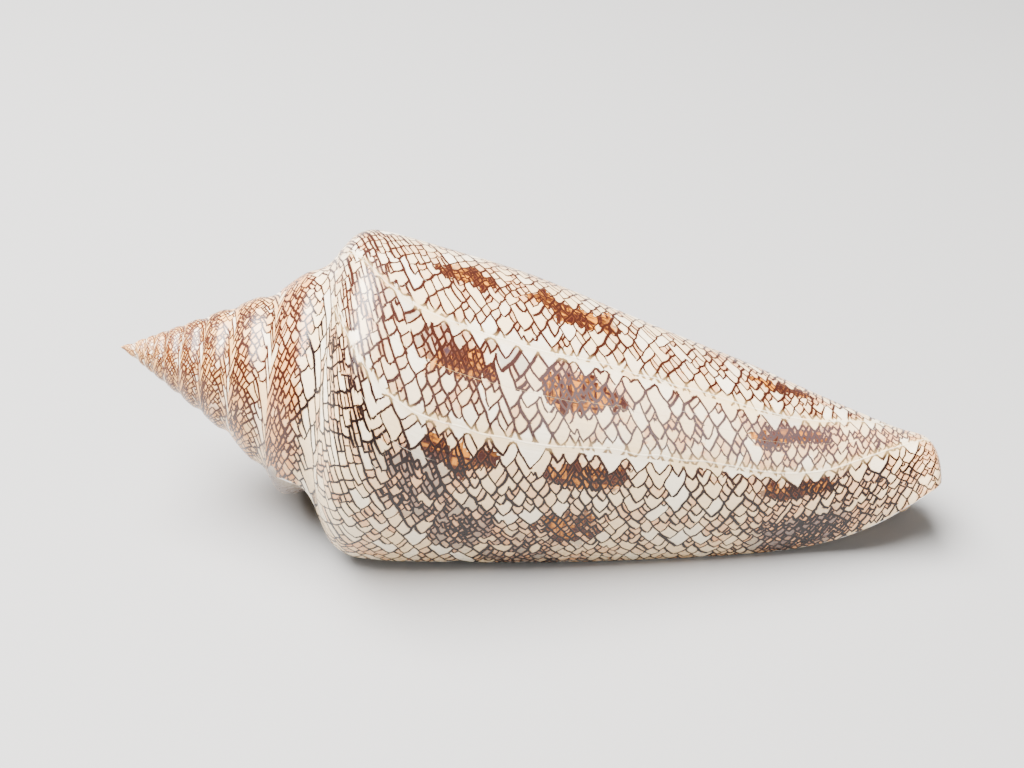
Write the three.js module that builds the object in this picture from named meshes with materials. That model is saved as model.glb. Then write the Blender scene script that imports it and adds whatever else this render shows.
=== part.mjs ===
// A tall cone shell, lying on its aperture with the spire to the left (-X) and the narrow end to the right (+X).
// The shell is one rolled sheet. It is worked out in the shell's own frame first: "along" is the distance from the
// tip of the spire, "out" the distance from the coiling axis, and "turn" the turns of growth since the middle of
// the outer lip was laid down, so earlier growth is negative. The shoulder runs on past zero, up to SHOULDER_LEAD.
import * as THREE from "three";
import { ParametricGeometry } from "three/addons/geometries/ParametricGeometry.js";
import { mergeGeometries, mergeVertices } from "three/addons/utils/BufferGeometryUtils.js";

// Driving dimensions, in mm and turns
const LENGTH = 112;
const SHOULDER_ALONG = 29;
const SHOULDER_OUT = 18.4;
const TURNS = 9;
const SHOULDER_LEAD = 0.115; // how much further round the shoulder reaches than the middle of the lip's growth line
const CATCH_UP = 0.3; // over how many turns the shoulder gains that lead

// Growth, as natural logarithms of size ratios unless a line says otherwise
const GROWTH_PER_TURN = 0.292;
const EARLY_SLIMNESS = 0.108; // how much slimmer the early whorls are than the last one
const SLIMNESS_TURNS = 1.2; // turns over which that slimness comes in
const BACK_SWELL = 0.086; // how much the last whorl swells on the shell's back
const SWELL_TURNS = 1.1; // turns that the swelling spans
const BELLY_FLATTENING = 0.17; // how far the last whorl draws in on the shell's belly
const BELLY_TAPER = 0.22; // and how much more it does so near the narrow end
const BELLY_TAPER_START = 40; // mm along
const BELLY_TAPER_END = 100; // mm along
const MIDDLE_STEADINESS = 0.79; // share of the growth that the middle of the body doesn't take part in
const MIDDLE_START = 32; // mm along
const MIDDLE_END = 62; // mm along
const CANAL_START = 88; // mm along: the narrow end, which widens fast
const CANAL_TAPER = 0.53; // how fast the narrow end widens in its last turn
const HELD_START = 75; // mm along: from here on the shell hardly gets longer in its last turn
const END_RETREAT = 0.02; // how far the narrow end grew forward in its last turn

// The growth line, in turns and mm: it bows forward on the body and trails at both ends
const NOTCH_DEPTH = 0.124;
const NOTCH_WIDTH = 5.9;
const CANAL_TRAIL = 0.243;

// The ramp from the suture to the shoulder: a swollen inner band, a hollow outer one
const SWELL_END = 0.55; // share of the ramp across
const SWELL_HEIGHT = 0.055;
const HOLLOW_START = 0.45;
const HOLLOW_DEPTH = 0.1;
const RAMP_BOW = 0.035; // turns that the growth line bows back on the ramp

// The hollow that the body sat in
const LIP_THICKNESS = 0.9;
const WALL_THICKNESS = 1.7;
const THICKENING = 0.25; // turns from the lip over which the wall gets its full thickness
const APERTURE_DEPTH = 0.75; // turns from the lip to the blind end of the hollow
const ROOF_DROP = 0.03; // how far down the body the hollow's top edge lies inside the lip
const ROOF_TURNS = 0.12; // turns from the lip over which the top edge drops there
const ROOF_WALL = 0.5; // mm of wall left above the top edge
const SPREAD_TURNS = 0.3; // turns from the lip over which the floor's rows spread out evenly
const LIP_CLOSING_ROWS = 3; // mesh rows over which wall and floor meet at the lip
const INNER_CLOSING_ROWS = 4; // and further in
const PILLAR_END = 0.3; // mm that the pillar's end stands proud at its centre

// The body whorl's outline at the outer lip: a rounded shoulder, then a taper that steepens steadily
const WIDEST_ALONG = 37;
const WIDEST_OUT = 22.7;
const TAPER = 0.118; // mm narrower for each mm along, just past the widest place
const STEEPENING = 0.00125; // and how fast that grows, per mm
const END_OUT = 1.6;
const OUTLINE_STATIONS = [SHOULDER_ALONG, 32, WIDEST_ALONG, 50, 65, 82, 97, 106, 110.5, LENGTH];

function outlineOut(along) {
  const past = along - WIDEST_ALONG;
  if (along >= LENGTH) return END_OUT;
  if (past > 0) return WIDEST_OUT - TAPER * past - STEEPENING * past * past;
  const share = past / (WIDEST_ALONG - SHOULDER_ALONG);
  return SHOULDER_OUT + (WIDEST_OUT - SHOULDER_OUT) * Math.sqrt(1 - share * share);
}

const BODY_OUTLINE = new THREE.SplineCurve(
  OUTLINE_STATIONS.map((along) => new THREE.Vector2(along, outlineOut(along))),
);

// Resting pose: where turn zero lies, from straight up towards the front, and the dip of the narrow end
const ZERO_TURN = THREE.MathUtils.degToRad(86.9);
const DIP = THREE.MathUtils.degToRad(8.4);

// Mesh steps
const STEPS_PER_TURN = 36;
const RAMP_ROWS = 4;
const BODY_ROWS = 26;
const ALL_ROWS = RAMP_ROWS + BODY_ROWS;
const OPEN_STEPS = Math.round(APERTURE_DEPTH * STEPS_PER_TURN);

const fade = (value, start, end) => THREE.MathUtils.smoothstep(value, start, end);
const turnAt = (column) => SHOULDER_LEAD - column / STEPS_PER_TURN;

// Shrinking of length and of radius from the lip back to an earlier turn
function shrinkAlong(turn) {
  return -GROWTH_PER_TURN * turn;
}

function shrinkOut(turn) {
  const swell = BACK_SWELL * Math.sin(Math.PI * Math.min(-turn / SWELL_TURNS, 1));
  return -GROWTH_PER_TURN * turn + EARLY_SLIMNESS * fade(-turn, 0, SLIMNESS_TURNS) - swell;
}

// How much of the notch at the shoulder has ended at a distance along: none at the shoulder, all of it further down
function pastNotch(along) {
  return 1 - Math.exp((SHOULDER_ALONG - along) / NOTCH_WIDTH);
}

// A point in the shell's frame as a vector, with the axis along X
function place({ along, out, turn }) {
  const angle = ZERO_TURN + 2 * Math.PI * turn;
  return new THREE.Vector3(along, -out * Math.sin(angle), out * Math.cos(angle));
}

// The shoulder's spiral, which is also the suture of the whorl after it; it starts from nothing at the apex
function shoulder(turn) {
  const start = Math.sqrt(THREE.MathUtils.clamp(turn + TURNS, 0, 1));
  return {
    along: SHOULDER_ALONG * Math.exp(-shrinkAlong(turn)) * start,
    out: SHOULDER_OUT * Math.exp(-shrinkOut(turn)) * start,
    turn,
  };
}

// The sloping top of each whorl, from the suture (across = 0) to the shoulder (across = 1)
function ramp(turn, across) {
  const inner = shoulder(turn - 1);
  const outer = shoulder(turn);
  const rise = outer.out - inner.out;
  const run = outer.along - inner.along;
  const swell = SWELL_HEIGHT * Math.sin(Math.PI * Math.min(across / SWELL_END, 1));
  const hollow = HOLLOW_DEPTH * Math.sin(Math.PI * Math.max((across - HOLLOW_START) / (1 - HOLLOW_START), 0));
  return {
    along: inner.along + run * across - rise * (swell - hollow),
    out: inner.out + rise * across + run * (swell - hollow),
    turn: turn - RAMP_BOW * Math.sin(Math.PI * across),
  };
}

// The body whorl, from the shoulder (down = 0) to the narrow end (down = 1), on the growth line that meets the
// shoulder's spiral at shoulderTurn
function body(shoulderTurn, down) {
  const lip = BODY_OUTLINE.getPointAt(THREE.MathUtils.clamp(down, 0, 1));
  const lead = SHOULDER_LEAD * fade(shoulderTurn, SHOULDER_LEAD - CATCH_UP, SHOULDER_LEAD);
  const turn = shoulderTurn - lead * pastNotch(lip.x);
  const held = fade(lip.x, HELD_START, LENGTH);
  const canal = fade(lip.x, CANAL_START, LENGTH);
  const belly = BELLY_FLATTENING + BELLY_TAPER * fade(lip.x, BELLY_TAPER_START, BELLY_TAPER_END);
  const drawnIn =
    (1 - MIDDLE_STEADINESS * fade(lip.x, MIDDLE_START, MIDDLE_END)) * shrinkOut(turn) -
    CANAL_TAPER * canal * turn +
    belly * fade(lip.x, SHOULDER_ALONG, MIDDLE_START + NOTCH_WIDTH) * fade(-turn, 0.5, 1);
  const trail = CANAL_TRAIL * Math.max(0, (lip.x - CANAL_START) / (LENGTH - CANAL_START)) ** 2;
  return {
    along: lip.x * Math.exp(-(1 - held) * shrinkAlong(turn) + held * END_RETREAT * turn),
    out: lip.y * Math.exp(-drawnIn),
    turn: turn + NOTCH_DEPTH * pastNotch(lip.x) - trail,
  };
}

// The outside of the last whorl by row: ramp rows first, then body rows
function outside(turn, row) {
  if (row <= RAMP_ROWS) return ramp(turn, row / RAMP_ROWS);
  return body(turn, (row - RAMP_ROWS) / BODY_ROWS);
}

// The floor of the hollow: the outside of the whorl before, with its rows closed up at the suture by the lip
function hollowFloor(turn, row) {
  const inward = SHOULDER_LEAD - 1 - turn;
  const atLip = Math.max(0, (row - RAMP_ROWS) / BODY_ROWS);
  const roof = ROOF_DROP * fade(inward, 0, ROOF_TURNS);
  const down = roof + (1 - roof) * THREE.MathUtils.lerp(atLip, row / ALL_ROWS, fade(inward, 0, SPREAD_TURNS));
  const floor = body(turn, down);
  const nearRoof = Math.max(0, 1 - row / INNER_CLOSING_ROWS) * Math.min(1, inward * STEPS_PER_TURN);
  return { ...floor, out: floor.out - ROOF_WALL * nearRoof };
}

// The inside of the last whorl's wall, which meets the hollow's floor along the first row
function hollowWall(turn, row) {
  const skin = outside(turn, row);
  const next = outside(turn, row + 0.01);
  const last = outside(turn, row - 0.01);
  const tangent = new THREE.Vector2(next.along - last.along, next.out - last.out).normalize();
  const inward = SHOULDER_LEAD - turn;
  const depth = THREE.MathUtils.lerp(LIP_THICKNESS, WALL_THICKNESS, fade(inward, 0, THICKENING));
  const slim = 1 - 0.5 * fade(skin.along, BELLY_TAPER_END, LENGTH);
  const floor = hollowFloor(turn - 1, row);
  const closingRows = THREE.MathUtils.lerp(LIP_CLOSING_ROWS, INNER_CLOSING_ROWS, fade(inward, 0, ROOF_TURNS));
  const closing = Math.max(0, 1 - row / closingRows) ** 1.5;
  return {
    along: THREE.MathUtils.lerp(skin.along + tangent.y * depth * slim, floor.along, closing),
    out: THREE.MathUtils.lerp(skin.out - tangent.x * depth * slim, floor.out, closing),
    turn: THREE.MathUtils.lerp(skin.turn, floor.turn + 1, closing),
  };
}

// One sheet of the surface, columns by rows, whose points come from a function of column and row. The columns are
// laid from the last to the first, so that the faces look out of the shell.
function sheet(columns, rows, pointAt) {
  const point = (u, v, target) =>
    target.copy(place(pointAt(Math.round((1 - u) * columns), Math.round(v * rows))));
  return new ParametricGeometry(point, columns, rows);
}

function spireSheet() {
  const columns = Math.ceil((TURNS + SHOULDER_LEAD) * STEPS_PER_TURN);
  return sheet(columns, RAMP_ROWS, (column, row) => ramp(turnAt(column), row / RAMP_ROWS));
}

function bodySheet() {
  return sheet(STEPS_PER_TURN, BODY_ROWS, (column, row) => body(turnAt(column), row / BODY_ROWS));
}

// The hollow: in along its floor to the blind end, back along the wall, and over the lip's thickness to its outer edge
function hollowSheet() {
  const wallStart = OPEN_STEPS + 1;
  const lipEdge = wallStart + OPEN_STEPS + 1;
  return sheet(lipEdge, ALL_ROWS, (column, row) => {
    if (column < wallStart) return hollowFloor(turnAt(STEPS_PER_TURN + column), row);
    if (column < lipEdge) return hollowWall(turnAt(lipEdge - 1 - column), row);
    return outside(SHOULDER_LEAD, row);
  });
}

// The edge of the sheet round the canal at the narrow end
function canalEdge() {
  return sheet(OPEN_STEPS, 1, (column, row) =>
    row === 0 ? body(turnAt(column), 1) : hollowWall(turnAt(column), ALL_ROWS),
  );
}

// The end of the pillar, closed to a point on the axis
function pillarEnd() {
  const columns = STEPS_PER_TURN + 2;
  const blindEnd = turnAt(OPEN_STEPS);
  const centre = { along: body(blindEnd - 0.5, 1).along + PILLAR_END, out: 0, turn: 0 };
  return sheet(columns, 1, (column, row) => {
    if (row === 1) return centre;
    if (column <= STEPS_PER_TURN) return body(blindEnd - column / STEPS_PER_TURN, 1);
    return column < columns ? hollowWall(blindEnd, ALL_ROWS) : body(blindEnd, 1);
  });
}

// Joins the sheets along their shared edges and drops the triangles that close up to nothing at the apex
function joined(sheets) {
  for (const part of sheets) {
    part.deleteAttribute("normal");
    part.deleteAttribute("uv");
  }
  const merged = mergeVertices(mergeGeometries(sheets), 1e-3);
  const corners = merged.index.array;
  const kept = [];
  for (let i = 0; i < corners.length; i += 3) {
    const [a, b, c] = corners.slice(i, i + 3);
    if (a !== b && b !== c && c !== a) kept.push(a, b, c);
  }
  merged.setIndex(kept);
  merged.computeVertexNormals();
  return merged;
}

function shellMesh() {
  const geometry = joined([spireSheet(), bodySheet(), hollowSheet(), canalEdge(), pillarEnd()]);
  geometry.rotateY(DIP);
  const material = new THREE.MeshStandardMaterial({ color: 0xe2d3bd, roughness: 0.28, metalness: 0 });
  const mesh = new THREE.Mesh(geometry, material);
  mesh.name = "shell";
  const box = new THREE.Box3().setFromObject(mesh);
  const centre = box.getCenter(new THREE.Vector3());
  mesh.position.set(-centre.x, -centre.y, -box.min.z);
  return mesh;
}

const group = new THREE.Group();
group.name = "cone_shell";
group.add(shellMesh());

export default group;
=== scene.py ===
"""A tall cone shell with a net of fine brown lines, lying on its aperture.

The shell is grown rather than drawn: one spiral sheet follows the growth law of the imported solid, and
the brown net is laid down by lines of pigment that wander along the growing lip. All shape work is in
millimetres and in turns of growth, and goes to metres when the mesh is placed.
"""

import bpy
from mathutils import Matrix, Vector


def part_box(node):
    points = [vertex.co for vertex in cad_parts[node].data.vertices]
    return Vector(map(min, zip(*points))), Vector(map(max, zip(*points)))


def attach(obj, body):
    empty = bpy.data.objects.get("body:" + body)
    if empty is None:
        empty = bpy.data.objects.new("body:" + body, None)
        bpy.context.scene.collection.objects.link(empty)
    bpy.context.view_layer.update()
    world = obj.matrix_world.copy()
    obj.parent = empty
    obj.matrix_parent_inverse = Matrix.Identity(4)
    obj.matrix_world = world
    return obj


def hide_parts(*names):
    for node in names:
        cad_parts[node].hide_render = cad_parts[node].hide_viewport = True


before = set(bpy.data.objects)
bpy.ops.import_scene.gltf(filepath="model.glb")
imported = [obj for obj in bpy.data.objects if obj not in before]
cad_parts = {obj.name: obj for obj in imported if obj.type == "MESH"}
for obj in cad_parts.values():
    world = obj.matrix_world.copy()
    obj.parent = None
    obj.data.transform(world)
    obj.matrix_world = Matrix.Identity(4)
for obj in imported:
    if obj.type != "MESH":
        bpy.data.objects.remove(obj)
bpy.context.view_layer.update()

import logging
import math
import random
from dataclasses import dataclass, field
from enum import Enum
from functools import cached_property
from typing import Callable

import bmesh
import bpy
import numpy as np
from mathutils import Matrix, Vector

LOG = logging.getLogger("cone_shell")
MM = 0.001
Array = np.ndarray
Growing = Callable[[Array, Array], "tuple[Array, Array, Array]"]


def fade(value: Array, start: float, end: float) -> Array:
    """Smooth step.

    Args:
        value: where to read it.
        start: value that gives 0.
        end: value that gives 1.

    Returns:
        0 to 1, with level ends.
    """
    share = np.clip((np.asarray(value, float) - start) / (end - start), 0, 1)
    return share * share * (3 - 2 * share)


def cloud(x: Array, y: Array, seed: int) -> Array:
    """Smooth random field with features about one unit across.

    Args:
        x: first coordinate.
        y: second coordinate.
        seed: picks one of many fields.

    Returns:
        Values from about -1 to 1.
    """
    x, y = np.broadcast_arrays(np.asarray(x, float), np.asarray(y, float))
    cell_x, cell_y = np.floor(x), np.floor(y)
    part_x, part_y = x - cell_x, y - cell_y
    part_x = part_x * part_x * (3 - 2 * part_x)
    part_y = part_y * part_y * (3 - 2 * part_y)

    def corner(step_x: int, step_y: int) -> Array:
        """Random value of one lattice corner."""
        mixed = np.sin((cell_x + step_x) * 127.1 + (cell_y + step_y) * 311.7 + seed * 74.7) * 43758.5453
        return 2 * (mixed - np.floor(mixed)) - 1

    low = corner(0, 0) * (1 - part_x) + corner(1, 0) * part_x
    high = corner(0, 1) * (1 - part_x) + corner(1, 1) * part_x
    return low * (1 - part_y) + high * part_y


@dataclass(frozen=True)
class Growth:
    """The growth law of the shell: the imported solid's, but for slightly flatter tops to the whorls.

    "along" is the distance from the tip of the spire, "out" the distance from the coiling axis and
    "turn" the turns of growth since the middle of the lip was laid down. "front" is a place on the
    growing edge: negative on the ramp between suture and shoulder, then the distance from the shoulder
    along the outline.
    """

    length: float = 112.0
    shoulder_along: float = 29.0
    shoulder_out: float = 18.4
    turns: float = 9.0
    shoulder_lead: float = 0.115
    catch_up: float = 0.3
    per_turn: float = 0.292
    early_slimness: float = 0.108
    back_swell: float = 0.086
    belly: float = 0.17
    belly_taper: float = 0.22
    steadiness: float = 0.79
    canal_start: float = 88.0
    canal_taper: float = 0.53
    end_retreat: float = 0.02
    notch_depth: float = 0.124
    notch_width: float = 5.9
    canal_trail: float = 0.243
    ramp_width: float = 9.2
    ramp_swell: float = 0.02
    ramp_hollow: float = 0.06
    ramp_bow: float = 0.035
    zero_turn: float = math.radians(86.9)
    dip: float = math.radians(8.4)
    widest_along: float = 37.0
    widest_out: float = 22.7
    taper: float = 0.118
    steepening: float = 0.00125
    end_out: float = 1.6
    least_girth_out: float = 6.0
    stations: tuple[float, ...] = (29, 32, 37, 50, 65, 82, 97, 106, 110.5, 112)
    outline_table: dict = field(default_factory=dict, compare=False)

    def outline_length(self) -> float:
        """Length of the body's outline from the shoulder to the narrow end."""
        return float(self._table()[0][-1])

    def outline_out(self, along: float) -> float:
        """Outline's distance from the axis: a rounded shoulder, then a taper that steepens steadily."""
        past = along - self.widest_along
        if along >= self.length:
            return self.end_out
        if past > 0:
            return self.widest_out - self.taper * past - self.steepening * past * past
        share = past / (self.widest_along - self.shoulder_along)
        return self.shoulder_out + (self.widest_out - self.shoulder_out) * math.sqrt(1 - share * share)

    def _table(self) -> tuple[Array, Array]:
        """Distances along the outline and its points, on a smooth curve through the outline's stations."""
        if not self.outline_table:
            points = np.array([(along, self.outline_out(along)) for along in self.stations], float)
            last = len(points) - 1
            place = np.linspace(0, last, 1601)
            index = np.minimum(place.astype(int), last - 1)
            part = (place - index)[:, None]
            before, start = points[np.maximum(index - 1, 0)], points[index]
            end, after = points[index + 1], points[np.minimum(index + 2, last)]
            leave, arrive = (end - before) / 2, (after - start) / 2
            curve = (
                (2 * start - 2 * end + leave + arrive) * part**3
                + (3 * end - 3 * start - 2 * leave - arrive) * part**2
                + leave * part
                + start
            )
            steps = np.hypot(*np.diff(curve, axis=0).T)
            self.outline_table["found"] = (np.concatenate([[0.0], np.cumsum(steps)]), curve)
        return self.outline_table["found"]

    def outline(self, front: Array) -> tuple[Array, Array]:
        """Point of the lip's outline.

        Args:
            front: distance from the shoulder along the outline.

        Returns:
            along and out of the point.
        """
        distance, curve = self._table()
        return np.interp(front, distance, curve[:, 0]), np.interp(front, distance, curve[:, 1])

    def girth_out(self, along: Array) -> Array:
        """Outline's distance from the axis by along, and no less than at the canal's edge."""
        _, curve = self._table()
        return np.maximum(np.interp(along, curve[:, 0], curve[:, 1]), self.least_girth_out)

    def shrink_out(self, turn: Array) -> Array:
        """Natural logarithm of how much narrower the shell was at an earlier turn."""
        swell = self.back_swell * np.sin(np.pi * np.minimum(-turn / 1.1, 1))
        return -self.per_turn * turn + self.early_slimness * fade(-turn, 0, 1.2) - swell

    def past_notch(self, along: Array) -> Array:
        """How much of the notch at the shoulder has ended: none at the shoulder, all of it further down."""
        return 1 - np.exp((self.shoulder_along - along) / self.notch_width)

    def shoulder(self, turn: Array) -> tuple[Array, Array]:
        """The shoulder's spiral, which is also the next whorl's suture, as along and out."""
        start = np.sqrt(np.clip(turn + self.turns, 0, 1))
        return (
            self.shoulder_along * np.exp(self.per_turn * turn) * start,
            self.shoulder_out * np.exp(-self.shrink_out(turn)) * start,
        )

    def ramp(self, turn: Array, across: Array) -> tuple[Array, Array, Array]:
        """Point of the sloping top of a whorl.

        Args:
            turn: growth.
            across: 0 at the suture, 1 at the shoulder.

        Returns:
            along, out and the turn at which the point stands.
        """
        inner_along, inner_out = self.shoulder(turn - 1)
        outer_along, outer_out = self.shoulder(turn)
        rise, run = outer_out - inner_out, outer_along - inner_along
        swell = self.ramp_swell * np.sin(np.pi * np.minimum(across / 0.55, 1))
        hollow = self.ramp_hollow * np.sin(np.pi * np.maximum((across - 0.45) / 0.55, 0))
        return (
            inner_along + run * across - rise * (swell - hollow),
            inner_out + rise * across + run * (swell - hollow),
            turn - self.ramp_bow * np.sin(np.pi * across),
        )

    def settled(self, turn: Array, front: Array) -> Array:
        """The body's own growth on the line that meets the shoulder at a turn."""
        along, _ = self.outline(front)
        lead = self.shoulder_lead * fade(turn, self.shoulder_lead - self.catch_up, self.shoulder_lead)
        return turn - lead * self.past_notch(along)

    def body(self, turn: Array, front: Array) -> tuple[Array, Array, Array]:
        """Point of the body whorl.

        Args:
            turn: growth at the shoulder.
            front: distance from the shoulder along the outline.

        Returns:
            along, out and the turn at which the point stands.
        """
        lip_along, lip_out = self.outline(front)
        turn = self.settled(turn, front)
        held = fade(lip_along, 75, self.length)
        canal = fade(lip_along, self.canal_start, self.length)
        belly = self.belly + self.belly_taper * fade(lip_along, 40, 100)
        drawn_in = (
            (1 - self.steadiness * fade(lip_along, 32, 62)) * self.shrink_out(turn)
            - self.canal_taper * canal * turn
            + belly * fade(lip_along, self.shoulder_along, 37.9) * fade(-turn, 0.5, 1)
        )
        tail = np.maximum(0, (lip_along - self.canal_start) / (self.length - self.canal_start))
        return (
            lip_along * np.exp((1 - held) * self.per_turn * turn + held * self.end_retreat * turn),
            lip_out * np.exp(-drawn_in),
            turn + self.notch_depth * self.past_notch(lip_along) - self.canal_trail * tail**2,
        )

    def skin(self, turn: Array, front: Array) -> Array:
        """Place of the outside surface.

        Args:
            turn: growth at the shoulder.
            front: place on the growing edge.

        Returns:
            Points in the shell's frame, in millimetres, with the axis along X.
        """
        turn, front = np.broadcast_arrays(np.asarray(turn, float), np.asarray(front, float))
        across = np.clip(1 + front / self.ramp_width, 0, 1)
        on_ramp = self.ramp(turn, across)
        on_body = self.body(turn, np.maximum(front, 0))
        return self.place(*(np.where(front < 0, a, b) for a, b in zip(on_ramp, on_body)))

    def place(self, along: Array, out: Array, turn: Array) -> Array:
        """Point in the shell's frame from its along, out and turn."""
        angle = self.zero_turn + 2 * np.pi * turn
        return np.stack([along, -out * np.sin(angle), out * np.cos(angle)], -1)

    def rested(self, points: Array) -> Array:
        """Points turned so that the narrow end dips to the ground."""
        turned = np.array(points, float)
        turned[..., 0] = points[..., 0] * math.cos(self.dip) + points[..., 2] * math.sin(self.dip)
        turned[..., 2] = -points[..., 0] * math.sin(self.dip) + points[..., 2] * math.cos(self.dip)
        return turned


@dataclass(frozen=True)
class Patch:
    """A soft-edged patch of colour on the body whorl."""

    turn: float
    along: float
    half_turn: float
    half_along: float
    strength: float = 1.0


@dataclass(frozen=True)
class Markings:
    """Where the net is fine or coarse, where it is stained and where the lip once stopped growing."""

    scars: tuple[float, ...] = (-0.274, -0.178)
    bands: tuple[tuple[float, float], ...] = ((48.0, 5.0), (64.0, 7.5), (92.0, 4.8))
    pauses: tuple[float, ...] = (-0.15, -0.235, -0.34, -0.47, -0.6, -0.74)
    late_stain: float = -0.08
    stain_width: float = 0.016
    smoky_pauses: tuple[float, ...] = (-0.255, -0.42, -0.54)
    smoky_alongs: tuple[float, ...] = (42.0, 57.0, 92.0)
    smoky_width: float = 0.014
    smoky_half: float = 6.5
    smoky_strip: tuple[float, float] = (-0.11, 0.01)
    strip_patches: int = 4
    strip_along: float = 42.5
    strip_spacing: float = 7.0
    strip_width: float = 0.038
    strip_half: float = 5.0
    end_smoke_along: float = 93.5
    end_smoke_width: float = 0.055
    end_smoke_half: float = 7.0
    tent_lag: float = 0.015
    tent_alongs: tuple[float, ...] = (38.5, 56.0, 75.0, 102.0)
    tent_width: float = 0.015
    tent_half: float = 3.2

    @cached_property
    def stains(self) -> tuple[Patch, ...]:
        """Three bands of stain, broken at every pause in growth, with a faint last one on the middle band."""
        found = [
            Patch(turn, along, self.stain_width, half) for turn in self.pauses for along, half in self.bands
        ]
        middle, half = self.bands[1]
        return (*found, Patch(self.late_stain, middle - 1, 2 * self.stain_width, half * 0.7, 0.6))

    @cached_property
    def smokes(self) -> tuple[Patch, ...]:
        """Smoky patches: between the bands at some pauses, and in a strip that slants towards the lip."""
        found = []
        for turn in self.smoky_pauses:
            found += [
                Patch(turn, along, self.smoky_width, self.smoky_half, 0.7) for along in self.smoky_alongs
            ]
        start, end = self.smoky_strip
        for step in range(self.strip_patches):
            turn = start + (end - start) * step / (self.strip_patches - 1)
            along = self.strip_along + self.strip_spacing * step
            found.append(Patch(turn, along, self.strip_width, self.strip_half, 0.85))
        middle = (start + end) / 2
        return (*found, Patch(middle, self.end_smoke_along, self.end_smoke_width, self.end_smoke_half))

    @cached_property
    def tents(self) -> tuple[Patch, ...]:
        """Groups of wide cells that hang from the scars."""
        found = []
        for scar in self.scars:
            turn = scar + self.tent_lag
            found += [Patch(turn, along, self.tent_width, self.tent_half, 0.7) for along in self.tent_alongs]
        return tuple(found)

    def amount(self, patches: tuple[Patch, ...], turn: Array, along: Array) -> Array:
        """Strength of a set of patches.

        Args:
            patches: the patches.
            turn: settled growth of the points.
            along: outline position of the points.

        Returns:
            0 outside the patches to 1 inside a full one.
        """
        ragged_turn = turn + 0.006 * cloud(turn * 130, along / 0.9, 3)
        ragged_turn = ragged_turn + 0.008 * cloud(turn * 50, along / 2.4, 5)
        ragged_along = along + 0.7 * cloud(turn * 90, along / 1.3, 4)
        total = np.zeros(np.broadcast(turn, along).shape)
        for patch in patches:
            reach = np.hypot(
                (ragged_turn - patch.turn) / patch.half_turn, (ragged_along - patch.along) / patch.half_along
            )
            total = np.maximum(total, patch.strength * (1 - fade(reach, 0.75, 1.15)))
        return total

    def spacing(self, growth: Growth, turn: float, front: Array) -> Array:
        """Distance wanted between neighbouring lines of one heading.

        Args:
            growth: the growth law.
            turn: growth at the shoulder.
            front: places on the growing edge.

        Returns:
            Millimetres.
        """
        along, _ = growth.outline(front)
        settled = growth.settled(np.full_like(front, turn), front)
        uneven = np.exp(0.22 * cloud(turn * 17, front / 7, 11) + 0.24 * cloud(turn * 45, front / 2.8, 12))
        stain = self.amount(self.stains, settled, along)
        smoke = self.amount(self.smokes, settled, along)
        near_shoulder = 1 + 0.3 * (1 - fade(front, 3, 14))
        on_body = 1.52 * near_shoulder * uneven * (1 - 0.5 * stain) * (1 - 0.42 * smoke)
        on_body = on_body * (1 - 0.2 * fade(along, 88, 104))
        on_body = on_body * (1 + 1.3 * self.amount(self.tents, settled, along))
        size = math.exp(growth.per_turn * turn)
        across = 1 + front / growth.ramp_width
        on_ramp = size * (1.0 + 1.1 * fade(across, 0.5, 0.75)) * uneven
        return np.maximum(np.where(front < 0, on_ramp, on_body), 0.4)


@dataclass
class Line:
    """One line of pigment that wanders along the growing edge."""

    front: float
    heading: int
    seed: float
    half_width: float
    reach: float
    since_meeting: float = 9.0
    travel: float = 0.0
    trail: list[tuple[float, float]] = field(default_factory=list)


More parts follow.
